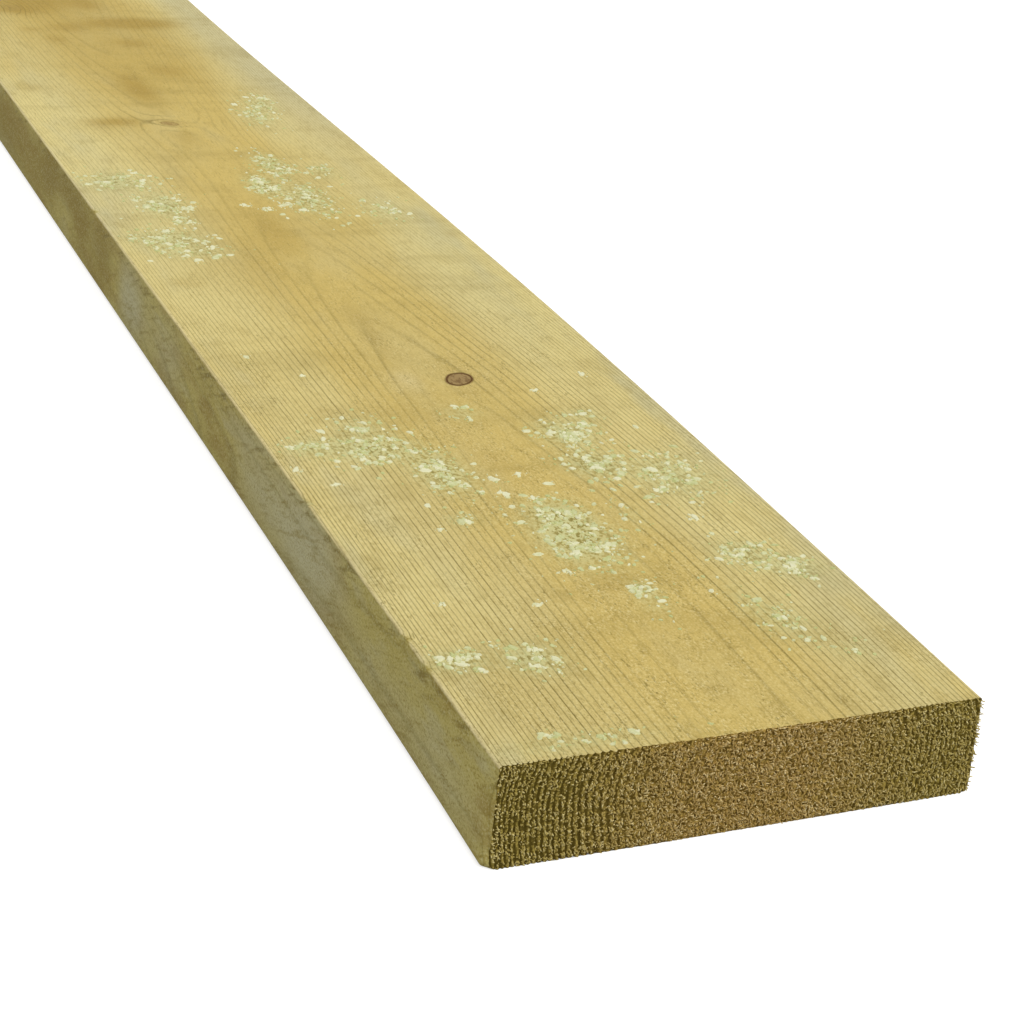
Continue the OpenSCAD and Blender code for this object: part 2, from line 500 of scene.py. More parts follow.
# Sizes of the wood's mottles and fibres, in millimetres along, across and up. The torn fibres
# are drawn about twice as coarse as real ones, so that they show.
MOTTLES = {
    "blotch": (260, 70, 70), "bloom": (150, 45, 60), "band": (34, 150, 150),
    "cloudy": (46, 15, 15), "broken": (50, 2.6, 2.6), "fibre": (7.0, 0.9, 0.9),
    "scratch": (1.25, 0.95, 0.95), "speck": (2.6, 1.9, 1.9), "dust": (2.6, 2.2, 2.2),
    "patch": (70, 26, 20), "crack": (4.0, 2.0, 4.0), "smudge": (24, 11, 11),
    "streak": (8, 0.8, 0.8), "tuft": (24, 13, 13), "tick": (3.2, 1.1, 1.1),
}
mottle = {}
for name, lengths in MOTTLES.items():
    scaled = add(tree, "VectorMath", {0: spot, 1: [1 / length for length in lengths]}, operation="MULTIPLY")
    mottle[name] = add(tree, "TexNoise", {"Vector": scaled, "Scale": 1.0, "Detail": 3.0, "Roughness": 0.6})

# The planed faces have faint strokes that lean across them.
STROKE = (22.0, 60.0, 3.5)
STROKE_LEAN = math.radians(22)
leaning = add(tree, "VectorRotate", {"Vector": spot, "Angle": STROKE_LEAN}, rotation_type="Y_AXIS")
leaning = add(tree, "VectorMath", {0: leaning, 1: [1 / length for length in STROKE]}, operation="MULTIPLY")
mottle["stroke"] = add(tree, "TexNoise", {"Vector": leaning, "Scale": 1.0, "Detail": 3.0, "Roughness": 0.6})

# Masks: what each is read from, where it starts and is full, and its least and greatest share.
# Places are in millimetres. Mottles run from 0 to 1, and marks from -1 to 1.
BLOTCH_WARMTH = 1.6
WARM_RANGE = (0.6, 1.7)
RING_STRENGTH = (0.45, 1.0)
MASKS = {
    "upper": (split["Z"], THICKNESS - 1.5, THICKNESS - 0.5, 0, 1),
    "planed": (split["Z"], THICKNESS - 0.5, THICKNESS - 1.5, 0, 1),
    "edge": (from_middle, WIDTH / 2 - 45, WIDTH / 2, 0.2, 0.85),
    "arris": (from_middle, WIDTH / 2 - 2.5, WIDTH / 2 - 0.5, 0, 0.5),
    "heart": (from_middle, 85, 15, 0, 1),
    "bloom": (mottle["bloom"], 0.42, 0.68, 0, 1),
    "band": (mottle["band"], 0.5, 0.72, 0, 0.22),
    "cloudy": (mottle["cloudy"], 0.5, 0.75, 0, 0.15),
    "resin": (stain, 0.0, 1.0, 0, 0.75),
    "dry": (stain, 0.0, -1.0, 0, 0.8),
    "blue": (mottle["patch"], 0.52, 0.7, 0, 0.45),
    "brown": (mottle["patch"], 0.5, 0.34, 0, 0.7),
    "rise": (grown["Ring"], 0.66, 0.88, 0, 1),
    "stop": (grown["Ring"], 1.0, 0.88, 0, 1),
    "broken": (mottle["broken"], 0.3, 0.55, 0.5, 1),
    "clear": (from_middle, 0, 62, 0.16, 1.0),
    "beyond": (split["X"], -310, -400, 0, 0.25),
    "apex": (from_middle, 2, 14, 0.25, 1),
    "outer": (from_middle, 60, 100, 0, 0.5),
    "farther": (split["X"], -180, -700, 1, 0.36),
    "rough": (split["X"], -120, -360, 1, 0.9),
    "calm": (from_middle, 25, 60, 1, 0.75),
    "flank": (from_middle, WIDTH / 2 - 0.3, WIDTH / 2 - 1.3, 0.4, 1),
    "shadow": (mottle["scratch"], 0.5, 0.72, 0, 0.6),
    "light": (mottle["scratch"], 0.5, 0.28, 0, 0.7),
    "tuft": (mottle["tuft"], 0.42, 0.64, 0.6, 1),
    "torn": (mottle["tuft"], 0.44, 0.62, 0, 1),
    "tick": (mottle["tick"], 0.56, 0.68, 0, 0.65),
    "dim": (mottle["fibre"], 0.52, 0.72, 0, 0.25),
    "speck": (mottle["speck"], 0.7, 0.77, 0, 0.6),
    "smudge": (mottle["smudge"], 0.52, 0.75, 0, 0.25),
    "streak": (mottle["streak"], 0.57, 0.7, 0, 0.5),
    "dust": (mottle["dust"], 0.43, 0.54, 0, 0.85),
    "gap": (mottle["dust"], 0.54, 0.38, 0.1, 0.9),
    "crack": (mottle["crack"], 0.46, 0.62, 0, 0.85),
    "haze": (residue, 0.05, 0.7, 0, 0.12),
    "stroke": (mottle["stroke"], 0.5, 0.7, 0, 0.5),
    "narrow": (from_middle, WIDTH / 2 - 8, WIDTH / 2 - 3, 0.2, 1),
    "blotched": (mottle["blotch"], 0.48, 0.7, 0, 0.3),
    "bloomed": (weathered, 0.0, 1.0, 0, 0.9),
    "browned": (weathered, 0.0, -1.0, 0, 0.9),
    "right": (split["Y"], 58, 100, 0, 0.8),
    "drip": (split["Z"], THICKNESS - 14, THICKNESS - 4, 0, 1),
    "misted": (split["X"], -650, -950, 0, 1),
}
mask = {}
for name, (source, start, full, least, most) in MASKS.items():
    mask[name] = add(tree, "MapRange", {0: source, 1: start, 2: full, 3: least, 4: most},
                     interpolation_type="SMOOTHSTEP")
warm = add(tree, "Math", {0: mottle["blotch"], 1: BLOTCH_WARMTH, 2: mask["heart"]},
           operation="MULTIPLY_ADD")
warm = add(tree, "MapRange", {0: warm, 1: WARM_RANGE[0], 2: WARM_RANGE[1]},
           interpolation_type="SMOOTHSTEP")
late = add(tree, "Math", {0: mask["rise"], 1: mask["stop"]}, operation="MULTIPLY")
each_ring = add(tree, "TexWhiteNoise", {"W": grown["Ring number"]}, noise_dimensions="1D")
each_ring = add(tree, "MapRange", {0: each_ring, 3: RING_STRENGTH[0], 4: RING_STRENGTH[1]})
clear = add(tree, "Math", {0: mask["beyond"], 1: mask["heart"], 2: mask["clear"]}, operation="MULTIPLY_ADD")
clear = add(tree, "Math", {0: grown["Swirl"], 1: SWIRL_CLEAR, 2: clear}, operation="MULTIPLY_ADD")

# Coats of colour from the wood outwards, each with the shares that are multiplied for it.
COATS = (
    (HEARTWOOD, warm),
    (BLOOM, mask["bloom"], mask["edge"]),
    (RESIN_BROWN, mask["resin"]),
    (GREY_BLOOM, mask["right"], mask["misted"]),
    (PALE_DRY_AND_HIGHLIGHT, mask["dry"]),
    # Paler along the upper arrises: partly wear, partly a painted highlight where the edge catches the
    # light.
    (PALE_DRY_AND_HIGHLIGHT, mask["arris"]),
    (TORN_SHADOW, mask["band"]),
    (TORN_SHADOW, mask["cloudy"]),
    # Painted shade: the planed faces get a base darker than the upper face, besides their greener tone.
    (SHADED_PLANED_OLIVE, mask["planed"]),
    (PLANED_BLUE, mask["planed"], mask["blue"], mask["narrow"]),
    (PLANED_BROWN, mask["planed"], mask["brown"], mask["narrow"]),
    (PLANED_BROWN, mask["planed"], mask["blotched"]),
    (PLANED_BLUE, mask["planed"], mask["bloomed"]),
    (PLANED_DARK, mask["planed"], mask["browned"]),
    (PLANED_DARK, mask["planed"], mask["stroke"], mask["narrow"]),
    (LATEWOOD, late, each_ring, mask["broken"], clear, mask["flank"], mask["apex"], mask["farther"]),
    (LATEWOOD, late, each_ring, mask["outer"], mask["flank"], mask["farther"]),
    (TORN_SHADOW, mask["smudge"], mask["rough"]),
    (TORN_SHADOW, mask["streak"], mask["rough"]),
    (TORN_SHADOW, mask["dim"]),
    (TORN_SHADOW, mask["shadow"], mask["rough"], mask["calm"], mask["farther"], mask["tuft"]),
    (LATEWOOD, mask["tick"], mask["torn"], mask["upper"], mask["farther"]),
    (TORN_LIGHT, mask["light"], mask["upper"], mask["rough"], mask["calm"], mask["farther"], mask["tuft"]),
    (PLANED_DARK, mask["planed"], mask["shadow"]),
    (DRIP, mask["planed"], mask["stroke"], mask["drip"], mask["narrow"]),
    (PLANED_LIGHT, mask["light"], mask["planed"]),
    (SPECK, mask["speck"]),
    (CHALK, mask["haze"]),
    (DAMP_GREEN, mask["gap"], residue),
    (CHALK, mask["dust"], residue),
    (KNOT_WOOD, grown["Core"]),
    (KNOT_DARK, grown["Core"], mask["crack"]),
    (KNOT_BARK, grown["Bark"]),
)
colour = linear(SAPWOOD)
for paint, share, *others in COATS:
    for other in others:
        share = add(tree, "Math", {0: share, 1: other}, operation="MULTIPLY")
    colour = add(tree, "Mix", {"Factor": share, "A": colour, "B": linear(paint)}, data_type="RGBA")

# Raised latewood and loose fibres, about a fifth of a millimetre high.
SURFACE_DEPTH = 0.22
LATEWOOD_RISE = 0.3
SCRATCH_RISE = 0.8
height = add(tree, "Math", {0: late, 1: LATEWOOD_RISE, 2: mottle["fibre"]}, operation="MULTIPLY_ADD")
height = add(tree, "Math", {0: mottle["scratch"], 1: SCRATCH_RISE, 2: height}, operation="MULTIPLY_ADD")
relief = add(tree, "Bump", {"Height": height, "Distance": SURFACE_DEPTH * MM, "Strength": 1.0})
surface = add(tree, "BsdfPrincipled", {"Base Color": colour, "Roughness": 0.8, "IOR": 1.5,
                                       "Specular IOR Level": 0.25, "Normal": relief})
add(tree, "OutputMaterial", {"Surface": surface})

# Rough-docked end grain: the same wood, painted darker where the saw tore deep and in the torn pores:
# painted shade in the hollows.
END_HEART = "#c8a858"
END_SAP = "#bca652"
END_HEART_GAP_SHADE = "#66511c"
END_SAP_GAP_SHADE = "#5d4f18"
END_PORE = 1.0
PORE_DEPTH = 0.5
PORE_RANGE = (0.5, 1.0)
SAP_START = 15.0
SAP_FULL = 100.0
end_grain = bpy.data.materials.new("rough_docked_end_grain")
end_grain.use_nodes = True
tree = end_grain.node_tree
tree.nodes.clear()
coordinates = add(tree, "TexCoord", {}).node.outputs["Object"]
across = add(tree, "SeparateXYZ", {0: coordinates}).node.outputs["Y"]
across = add(tree, "Math", {0: across}, operation="ABSOLUTE")
sap = add(tree, "MapRange", {0: across, 1: SAP_START * MM, 2: SAP_FULL * MM},
          interpolation_type="SMOOTHSTEP")
torn = add(tree, "Attribute", {}, attribute_name="tear").node.outputs["Fac"]
pores = add(tree, "TexNoise", {"Vector": coordinates, "Scale": 1 / (END_PORE * MM), "Detail": 2.0})
# Painted shade: deeper tears and pores take the dark gap colour.
torn_shade = add(tree, "Math", {0: torn, 1: pores}, operation="ADD")
torn_shade = add(tree, "MapRange", {0: torn_shade, 1: PORE_RANGE[0], 2: PORE_RANGE[1]},
           interpolation_type="SMOOTHSTEP")
light = add(tree, "Mix", {"Factor": sap, "A": linear(END_HEART), "B": linear(END_SAP)},
            data_type="RGBA")
gap_shade = add(tree, "Mix", {"Factor": sap, "A": linear(END_HEART_GAP_SHADE), "B": linear(END_SAP_GAP_SHADE)},
           data_type="RGBA")
colour = add(tree, "Mix", {"Factor": torn_shade, "A": light, "B": gap_shade}, data_type="RGBA")
relief = add(tree, "Bump", {"Height": pores, "Distance": PORE_DEPTH * MM, "Strength": 1.0})
surface = add(tree, "BsdfPrincipled", {"Base Color": colour, "Roughness": 0.9, "IOR": 1.5,
                                       "Specular IOR Level": 0.15, "Normal": relief})
add(tree, "OutputMaterial", {"Surface": surface})
plank_mesh.materials.append(softwood)
plank_mesh.materials.append(end_grain)
plank_piece = bpy.data.objects.new("plank_body", plank_mesh)
bpy.context.scene.collection.objects.link(plank_piece)
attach(plank_piece, "root")
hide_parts("plank")

# Torn fibres: the coarse docking saw left each end furred with tufts of the wood itself, curled
# over in every direction. They are longest along the side where the blade came out.
FIBRES = 9000
FIBRE_SEED = 21
FIBRE_SIDES = 3
FIBRE_JOINTS = 2
FIBRE_WIDTH = (0.6, 1.2)
FIBRE_FLATNESS = 0.7
FIBRE_TAPER = 0.56
FIBRE_LENGTH = (1.2, 2.3)
FIBRE_CURL = (0.9, 2.3)
FIBRE_SWERVE = 0.3
FIBRE_SINK = 0.3
# Fibre roots are painted darker, as painted shade down in the fur, and tips paler, as a painted highlight.
SHADED_FIBRE_ROOT_HEART = "#ba994d"
SHADED_FIBRE_ROOT_SAP = "#b09b4a"
LIT_FIBRE_TIP_HEART = "#f8e3a8"
LIT_FIBRE_TIP_SAP = "#f2e3a0"
PALE_FIBRES = 0.22
# Where a fibre may root: over the underside, under the upper face, and off a rounded corner.
ROOT_ABOVE = 0.3
ROOT_BELOW = 0.2
ROOT_SLACK = 0.2
FURROW_BARENESS = 2.5
TUFT_SIZE = 2.5
TUFT_NOISE = 11.0
# How strongly a fibre lies along its ridge, and how wide each rim is and how strongly it pulls.
RIDGE_PULL = 3.5
EXIT_RIM, EXIT_PULL = 2.5, 2.2
ENTRY_RIM, ENTRY_PULL = 2.0, 1.2
UPPER_RIM, UPPER_PULL = 1.6, 2.0
UNDER_RIM, UNDER_PULL = 1.8, 1.5
EXIT_LENGTH = 1.3
RIDGE_SHORTENS = 0.3
UNDER_SHORTENS = 0.3
EXIT_STRAIGHTENS = 0.45
UPPER_STRAIGHTENS = 0.3
# How pale a fibre's tip is: the least, and what its tuft, chance and the entry rim add.
TONE_LEAST = 0.1
TONE_TUFT = 0.6
TONE_PALE = 0.7
TONE_ENTRY = 0.5
FLOOR_GAP = 0.1
torn_fibre = bpy.data.materials.new("torn_softwood_fibre")
torn_fibre.use_nodes = True
tree = torn_fibre.node_tree
tree.nodes.clear()
along = add(tree, "Attribute", {}, attribute_name="along").node.outputs["Fac"]
tone = add(tree, "Attribute", {}, attribute_name="tone").node.outputs["Fac"]
coordinates = add(tree, "TexCoord", {}).node.outputs["Object"]
across = add(tree, "SeparateXYZ", {0: coordinates}).node.outputs["Y"]
across = add(tree, "Math", {0: across}, operation="ABSOLUTE")
sap = add(tree, "MapRange", {0: across, 1: SAP_START * MM, 2: SAP_FULL * MM},
          interpolation_type="SMOOTHSTEP")
root = add(tree, "Mix", {"Factor": sap, "A": linear(SHADED_FIBRE_ROOT_HEART), "B": linear(SHADED_FIBRE_ROOT_SAP)},
           data_type="RGBA")
lit_tip = add(tree, "Mix", {"Factor": sap, "A": linear(LIT_FIBRE_TIP_HEART), "B": linear(LIT_FIBRE_TIP_SAP)},
          data_type="RGBA")
# Each fibre runs from its darker root, painted shade, to its paler tip, a painted highlight, as far as its
# own tone allows.
lit_tip_share = add(tree, "Math", {0: along, 1: tone}, operation="MULTIPLY")
colour = add(tree, "Mix", {"Factor": lit_tip_share, "A": root, "B": lit_tip}, data_type="RGBA")
surface = add(tree, "BsdfPrincipled", {"Base Color": colour, "Roughness": 0.75, "IOR": 1.5,
                                       "Specular IOR Level": 0.25})
add(tree, "OutputMaterial", {"Surface": surface})

# One fibre is a three-sided tapered stick. Every copy gets its own root, width, length and curl.
stick = bmesh.new()
bmesh.ops.create_cone(stick, cap_ends=True, segments=FIBRE_SIDES, radius1=0.5,
                      radius2=0.5 * FIBRE_TAPER, depth=1.0)
upright = [edge for edge in stick.edges if abs(edge.verts[0].co.z - edge.verts[1].co.z) > 0.5]
bmesh.ops.subdivide_edges(stick, edges=upright, cuts=FIBRE_JOINTS)
stick.verts.index_update()
shape = np.array([vert.co for vert in stick.verts])
stick_faces = [[vert.index for vert in face.verts] for face in stick.faces]
stick.free()
reach = shape[:, 2] + 0.5
for end, name in ((1, "near_end_fibres"), (-1, "far_end_fibres")):
    chance = np.random.default_rng(FIBRE_SEED + end)
    roots = []
    while len(roots) < FIBRES:
        y = chance.uniform(-WIDTH / 2, WIDTH / 2)
        z = chance.uniform(ROOT_ABOVE, THICKNESS - ROOT_BELOW)
        clear, ridge = end_ridge(end, y, z)
        inside = math.dist(rounded(y, z), (y, z)) < ROOT_SLACK
        if inside and chance.random() < 1 - clear * (1 - ridge) ** FURROW_BARENESS:
            patch = noise.noise(Vector((y / TUFT_SIZE, z / TUFT_SIZE, TUFT_NOISE * end)))
            tuft = 0.5 + 0.5 * patch
            roots.append((y, z, tear(end, y, z), clear, tuft))
    root_y, root_z, depth, clear, tuft = np.array(roots).T
    size = len(roots)
    # Along a ridge the fibres lie up or down it. They lean out at the top and on the side where
    # the blade came out, and inwards at the other two rims.
    turn = chance.uniform(0, 2 * math.pi, size)
    lie = np.stack([np.cos(turn), np.sin(turn)])
    heart_y, heart_z = pith(END_PLACE[end])
    spoke = np.stack([root_y - heart_y, root_z - heart_z])
    spoke /= np.linalg.norm(spoke, axis=0) + NEARLY
    lie += RIDGE_PULL * clear * chance.choice([-1, 1], size) * np.stack([-spoke[1], spoke[0]])
    exit_rim = (WIDTH / 2 - SAW_EXIT_SIDE * root_y < EXIT_RIM) * 1.0
    entry_rim = (WIDTH / 2 + SAW_EXIT_SIDE * root_y < ENTRY_RIM) * 1.0
    upper_rim = (THICKNESS - root_z < UPPER_RIM) * 1.0
    under_rim = (root_z < UNDER_RIM) * 1.0
    lie += np.stack([SAW_EXIT_SIDE * (EXIT_PULL * exit_rim + ENTRY_PULL * entry_rim),
                     UPPER_PULL * upper_rim + UNDER_PULL * under_rim])
    lie /= np.linalg.norm(lie, axis=0) + NEARLY
    length = chance.uniform(*FIBRE_LENGTH, size) * (1 + (EXIT_LENGTH - 1) * exit_rim)
    length *= (1 - RIDGE_SHORTENS * clear) * (1 - UNDER_SHORTENS * under_rim)
    width = chance.uniform(*FIBRE_WIDTH, size)
    curl = chance.uniform(*FIBRE_CURL, size) * (1 - EXIT_STRAIGHTENS * exit_rim)
    curl *= 1 - UPPER_STRAIGHTENS * upper_rim
    swerve = chance.normal(0, FIBRE_SWERVE, size)
    tone = TONE_LEAST + TONE_TUFT * tuft * chance.random(size)
    tone += TONE_PALE * (chance.random(size) < PALE_FIBRES)
    tone = np.clip(tone + TONE_ENTRY * entry_rim, 0, 1)
    bend = curl[:, None] * reach
    thick = width[:, None] * shape[:, 1] * FIBRE_FLATNESS
    out = length[:, None] * np.sin(bend) / curl[:, None] - np.sin(bend) * thick
    over = length[:, None] * (1 - np.cos(bend)) / curl[:, None] + np.cos(bend) * thick
    astray = (swerve * length)[:, None] * reach ** 2 + width[:, None] * shape[:, 0]
    lean = OUT_OF_SQUARE[end] * (1 - root_z / THICKNESS)
    x = end * (LENGTH / 2 + (lean - depth - FIBRE_SINK)[:, None] + out)
    root_y = root_y + edge_drift(END_PLACE[end], root_y, root_z)
    y = root_y[:, None] + lie[0][:, None] * over - lie[1][:, None] * astray
    z = root_z[:, None] + lie[1][:, None] * over + lie[0][:, None] * astray
    points = np.stack([x, y, np.maximum(z, FLOOR_GAP)], 2).reshape(-1, 3) * MM
    faces = [[len(shape) * fibre + corner for corner in face]
             for fibre in range(size) for face in stick_faces]
    mesh = bpy.data.meshes.new(name)
    mesh.from_pydata(points, [], faces)
    fur = bmesh.new()
    fur.from_mesh(mesh)
    bmesh.ops.recalc_face_normals(fur, faces=fur.faces[:])
    fur.to_mesh(mesh)
    fur.free()
    mesh.shade_smooth()
    mesh.attributes.new("along", "FLOAT", "POINT").data.foreach_set("value", np.tile(reach, size))
    mesh.attributes.new("tone", "FLOAT", "POINT").data.foreach_set("value", np.repeat(tone, len(shape)))
    mesh.materials.append(torn_fibre)
    piece = bpy.data.objects.new(name, mesh)
    bpy.context.scene.collection.objects.link(piece)
    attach(piece, "root")

# Dried preservative: pale mint copper salts that bloomed out of the wet wood, dried on the upper
# face as a film a third of a millimetre thick, and broke up into crumbs and ragged scabs.
FLAKE_SEED = 5
FLAKE_SIDES = 6
FLAKE_TAPER = 0.72
FLAKE_RAGGED = (0.45, 1.15)
FLAKE_STRETCH = (0.75, 1.35)
# A flake rises by a share of its size, between these sizes, and is tilted.
FLAKE_RISE = (0.05, 0.12)
FLAKE_RISE_SIZES = (1.2, 4.0)
FLAKE_TILT = 0.3
FLAKE_LEAST_RISE = 0.02
FLAKE_SINK = 0.3
FLAKE_MARGIN = 2.5
FLAKES_PER_SQUARE_MM = 0.62
FLAKE_SPREAD = 0.7
FLAKE_MEAN = 2.5
FLAKE_SIZE_SPREAD = 0.45
FLAKE_RANGE = (1.2, 6.0)
FLAKE_CLUMP = 8.0
CLUMP_NOISE = 2.0
CLUMP_BLUR = 0.16
CLUMP_LEAST = 0.06
LONERS_PER_SQUARE_MM = 0.03
LONER_SPREAD = 1.2
LONER_SIZE = 1.4
CRUMB = 1.6
CRUMB_DEPTH = 0.12
CRUMB_TONE = 0.8
TONE_RANGE = (0.3, 1.2)
FLAKE_TONES = (-0.3, 0.45)
PALE_SIZE = 14
SCAB_WHITER = 0.28
WHOLE_SCAB_WHITER = 0.5
CRUMBLING_SIZE = 8.5
WHOLE_CORE = 0.72
CRUMBLED_CORE = 0.42
FLAKE_PALE = "#e6e4bd"
FLAKE_GREEN = "#c3c686"
# Scabs that stand out on their own: distance from the near end, across, and size.
SCABS = (
    (-239, -13, 8), (-222, -15, 8), (-216, -3, 6), (-242, 1, 6), (-247, -92, 6), (-266, -106, 7),
    (-408, -88, 5), (-378, -66, 4), (-193, -60, 5), (-197, -44, 7), (-125, -87, 5),
    (-116, -44, 6), (-181, 67, 8), (-357, 89, 7), (-340, 53, 5), (-281, 49, 12), (-286, 38, 7),
    (-141, 67, 10), (-125, 90, 11), (-79, -97, 12), (-67, -67, 7), (-80, -62, 7), (-121, 11, 10),
    (-159, 10, 9), (-142, -18, 6), (-242, 44, 8), (-272, -69, 7), (-277, -42, 7), (-321, -63, 5),
    (-232, 91, 6), (-212, 63, 7), (-628, -58, 9), (-657, -13, 8), (-560, -72, 8), (-649, 0, 9),
    (-656, 13, 12), (-580, -57, 8), (-612, -76, 10), (-712, -67, 8), (-731, 43, 9),
    (-690, 15, 10), (-675, 35, 9), (-654, -52, 9), (-907, 76, 12), (-889, 50, 8), (-1440, 20, 9),
    (-1590, -40, 10), (-1830, -20, 8), (-2110, 10, 9),
)
# The ragged edge of a scab: how many smaller ones, how far out, and how large, as shares of it.
# A small scab is still whole, and a large one has crumbled.
WHOLE_EDGES = ((4, 0.2, 0.38, 0.35, 0.55), (3, 0.45, 0.8, 0.12, 0.25))
SCAB_EDGES = ((10, 0.12, 0.45, 0.22, 0.42), (9, 0.35, 0.8, 0.1, 0.22))
chance = np.random.default_rng(FLAKE_SEED)
flakes = []
for x, y, half_length, half_width, strength in RESIDUE:
    wanted = round(FLAKES_PER_SQUARE_MM * half_length * half_width * strength)
    while wanted > 0:
        spread = chance.normal(0, FLAKE_SPREAD, 2)
        place = (x + half_length * spread[0], y + half_width * spread[1])
        clump = noise.noise(Vector((place[0] / FLAKE_CLUMP, place[1] / FLAKE_CLUMP, CLUMP_NOISE)))
        if clump + CLUMP_BLUR * chance.normal() > CLUMP_LEAST:
            size = FLAKE_MEAN * math.exp(FLAKE_SIZE_SPREAD * chance.normal())
            flakes.append((*place, np.clip(size, *FLAKE_RANGE), 0.0))
            wanted -= 1
    for loner in range(round(LONERS_PER_SQUARE_MM * half_length * half_width * strength)):
        place = (x + half_length * LONER_SPREAD * chance.normal(),
                 y + half_width * LONER_SPREAD * chance.normal())
        flakes.append((*place, LONER_SIZE, 0.0))
for x, y, size in SCABS:
    whole = size < CRUMBLING_SIZE
    whiter = WHOLE_SCAB_WHITER if whole else SCAB_WHITER
    flakes.append((x, y, (WHOLE_CORE if whole else CRUMBLED_CORE) * size, whiter))
    for pieces, nearest, farthest, least, most in WHOLE_EDGES if whole else SCAB_EDGES:
        for piece in range(pieces):
            turn = chance.uniform(0, 2 * math.pi)
            out = chance.uniform(nearest, farthest) * size
            width = chance.uniform(least, most) * size
            flakes.append((x + out * math.cos(turn), y + out * math.sin(turn), width, whiter))
flakes = np.array([flake for flake in flakes if abs(flake[1]) < WIDTH / 2 - FLAKE_MARGIN - flake[2] / 2
                   and FLAKE_MARGIN + flake[2] / 2 < -flake[0] < LENGTH - FLAKE_MARGIN - flake[2] / 2])
size = len(flakes)
scab = bmesh.new()
bmesh.ops.create_cone(scab, cap_ends=True, segments=FLAKE_SIDES, radius1=0.5,
                      radius2=0.5 * FLAKE_TAPER, depth=1.0)
scab.verts.index_update()
shape = np.array([vert.co for vert in scab.verts])
scab_faces = [[vert.index for vert in face.verts] for face in scab.faces]
scab.free()
around = np.arctan2(shape[:, 1], shape[:, 0]) / (2 * math.pi / FLAKE_SIDES)
corner = np.round(around).astype(int) % FLAKE_SIDES
ragged = chance.uniform(*FLAKE_RAGGED, (size, FLAKE_SIDES))[:, corner] * flakes[:, 2:3]
stretch = chance.uniform(*FLAKE_STRETCH, (size, 1))
turn = chance.uniform(0, 2 * math.pi, (size, 1))
local_x = shape[:, 0] * ragged * stretch
local_y = shape[:, 1] * ragged / stretch
rise = chance.uniform(*FLAKE_RISE, (size, 1)) * np.clip(flakes[:, 2:3], *FLAKE_RISE_SIZES)
tilt = FLAKE_TILT * chance.normal(size=(size, 2, 1))
lift = rise + tilt[:, 0] * shape[:, 0] + tilt[:, 1] * shape[:, 1]
lift = np.maximum(lift, FLAKE_LEAST_RISE)
x = LENGTH / 2 + flakes[:, 0:1] + local_x * np.cos(turn) - local_y * np.sin(turn)
y = flakes[:, 1:2] + local_x * np.sin(turn) + local_y * np.cos(turn)
z = THICKNESS + np.where(shape[:, 2] > 0, lift, -FLAKE_SINK)
points = np.stack([x, y, z], 2).reshape(-1, 3) * MM
faces = [[len(shape) * flake + vert for vert in face]
         for flake in range(size) for face in scab_faces]
flake_mesh = bpy.data.meshes.new("preservative_flakes")
flake_mesh.from_pydata(points, [], faces)
tone = np.clip(chance.uniform(*FLAKE_TONES, size) + flakes[:, 2] / PALE_SIZE + flakes[:, 3], 0, 1)
tones = flake_mesh.attributes.new("tone", "FLOAT", "POINT")
tones.data.foreach_set("value", np.repeat(tone, len(shape)))
salts = bpy.data.materials.new("dried_preservative_salts")
salts.use_nodes = True
tree = salts.node_tree
tree.nodes.clear()
tone = add(tree, "Attribute", {}, attribute_name="tone").node.outputs["Fac"]
coordinates = add(tree, "TexCoord", {}).node.outputs["Object"]
crumble = add(tree, "TexNoise", {"Vector": coordinates, "Scale": 1 / (CRUMB * MM), "Detail": 3.0})
tone = add(tree, "Math", {0: crumble, 1: CRUMB_TONE, 2: tone}, operation="MULTIPLY_ADD")
tone = add(tree, "MapRange", {0: tone, 1: TONE_RANGE[0], 2: TONE_RANGE[1]},
           interpolation_type="SMOOTHSTEP")
colour = add(tree, "Mix", {"Factor": tone, "A": linear(FLAKE_GREEN), "B": linear(FLAKE_PALE)},
             data_type="RGBA")
relief = add(tree, "Bump", {"Height": crumble, "Distance": CRUMB_DEPTH * MM, "Strength": 1.0})
surface = add(tree, "BsdfPrincipled", {"Base Color": colour, "Roughness": 0.9, "IOR": 1.5,
                                       "Specular IOR Level": 0.2, "Normal": relief})
add(tree, "OutputMaterial", {"Surface": surface})
flake_mesh.materials.append(salts)
flake_piece = bpy.data.objects.new("dried_preservative", flake_mesh)
bpy.context.scene.collection.objects.link(flake_piece)
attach(flake_piece, "root")

# The studio: a wide white floor that keeps a faint shadow, a broad soft lamp overhead, a little
# towards the near end and the right, and an even white room.
FLOOR_SIZE = 60.0
FLOOR_BOUNCE = 0.55
FLOOR_GLOW = 0.7
ROOM_LIGHT = 0.32
LAMP_SHARE = 0.72
LAMP_SPREAD = 70
LAMP_TILT = (-4, 24)
floor_shape = bmesh.new()
bmesh.ops.create_grid(floor_shape, x_segments=1, y_segments=1, size=FLOOR_SIZE / 2)
floor_mesh = bpy.data.meshes.new("studio_floor")
floor_shape.to_mesh(floor_mesh)
floor_shape.free()
paper = bpy.data.materials.new("white_studio_paper")
paper.use_nodes = True
tree = paper.node_tree
tree.nodes.clear()
rays = add(tree, "LightPath", {}).node.outputs
seen = add(tree, "Math", {0: rays["Is Camera Ray"], 1: rays["Is Glossy Ray"]}, operation="MAXIMUM")
seen = add(tree, "Math", {0: seen, 1: rays["Is Transmission Ray"]}, operation="MAXIMUM")
glow = add(tree, "Math", {0: seen, 1: FLOOR_GLOW}, operation="MULTIPLY")
matt = add(tree, "BsdfDiffuse", {"Color": (FLOOR_BOUNCE,) * 3 + (1,)})
bright = add(tree, "Emission", {"Color": (1, 1, 1, 1), "Strength": glow})
add(tree, "OutputMaterial", {"Surface": add(tree, "AddShader", {0: matt, 1: bright})})
floor_mesh.materials.append(paper)
floor = bpy.data.objects.new("studio_floor", floor_mesh)
bpy.context.scene.collection.objects.link(floor)
room = bpy.data.worlds.new("white_room")
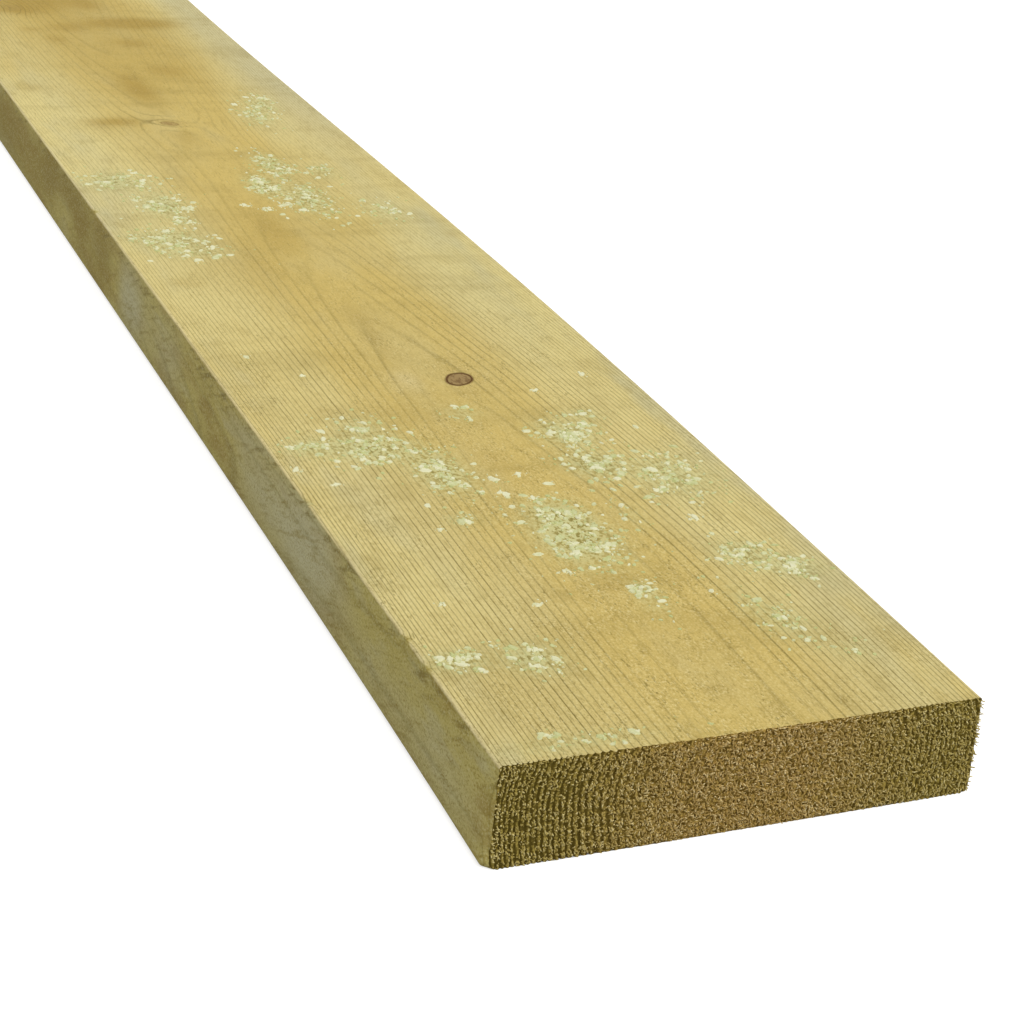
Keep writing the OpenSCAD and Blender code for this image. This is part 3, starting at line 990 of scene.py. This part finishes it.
bpy.context.scene.world = room
room.use_nodes = True
tree = room.node_tree
tree.nodes.clear()
rays = add(tree, "LightPath", {}).node.outputs
seen = add(tree, "Math", {0: rays["Is Camera Ray"], 1: rays["Is Glossy Ray"]}, operation="MAXIMUM")
seen = add(tree, "Math", {0: seen, 1: rays["Is Transmission Ray"]}, operation="MAXIMUM")
power = add(tree, "MapRange", {"Value": seen, "To Min": ROOM_LIGHT, "To Max": 1.0})
sky = add(tree, "Background", {"Color": (1, 1, 1, 1), "Strength": power})
add(tree, "OutputWorld", {"Surface": sky})
lamp_data = bpy.data.lights.new("overhead_softbox", "SUN")
lamp_data.energy = math.pi * LAMP_SHARE
lamp_data.angle = math.radians(LAMP_SPREAD)
lamp = bpy.data.objects.new("overhead_softbox", lamp_data)
lamp.rotation_euler = (math.radians(LAMP_TILT[0]), math.radians(LAMP_TILT[1]), 0)
bpy.context.scene.collection.objects.link(lamp)
bpy.context.scene.view_settings.view_transform = "Standard"

# The camera: a short telephoto, close above the near end, held a little out of level.
CAMERA_FROM_NEAR_END = Vector((0.6007, -0.4189, 0.4768))
AZIMUTH = math.radians(63.58)
ELEVATION = math.radians(25.58)
ROLL = math.radians(6.91)
FOCAL_PIXELS = 2102.0
PICTURE_PIXELS = 1024
SENSOR = 36.0
camera_data = bpy.data.cameras.new("camera")
camera_data.sensor_width = SENSOR
camera_data.lens = FOCAL_PIXELS / PICTURE_PIXELS * SENSOR
camera = bpy.data.objects.new("camera", camera_data)
level = math.cos(ELEVATION)
backward = Vector((math.sin(AZIMUTH) * level, -math.cos(AZIMUTH) * level, math.sin(ELEVATION)))
rightward = Vector((0, 0, 1)).cross(backward).normalized()
upward = backward.cross(rightward)
turned = Matrix((rightward, upward, backward)).transposed() @ Matrix.Rotation(ROLL, 3, "Z")
camera.matrix_world = Matrix.Translation(CAMERA_FROM_NEAR_END + Vector((high.x, 0, 0))) @ turned.to_4x4()
bpy.context.scene.collection.objects.link(camera)
bpy.context.scene.camera = camera
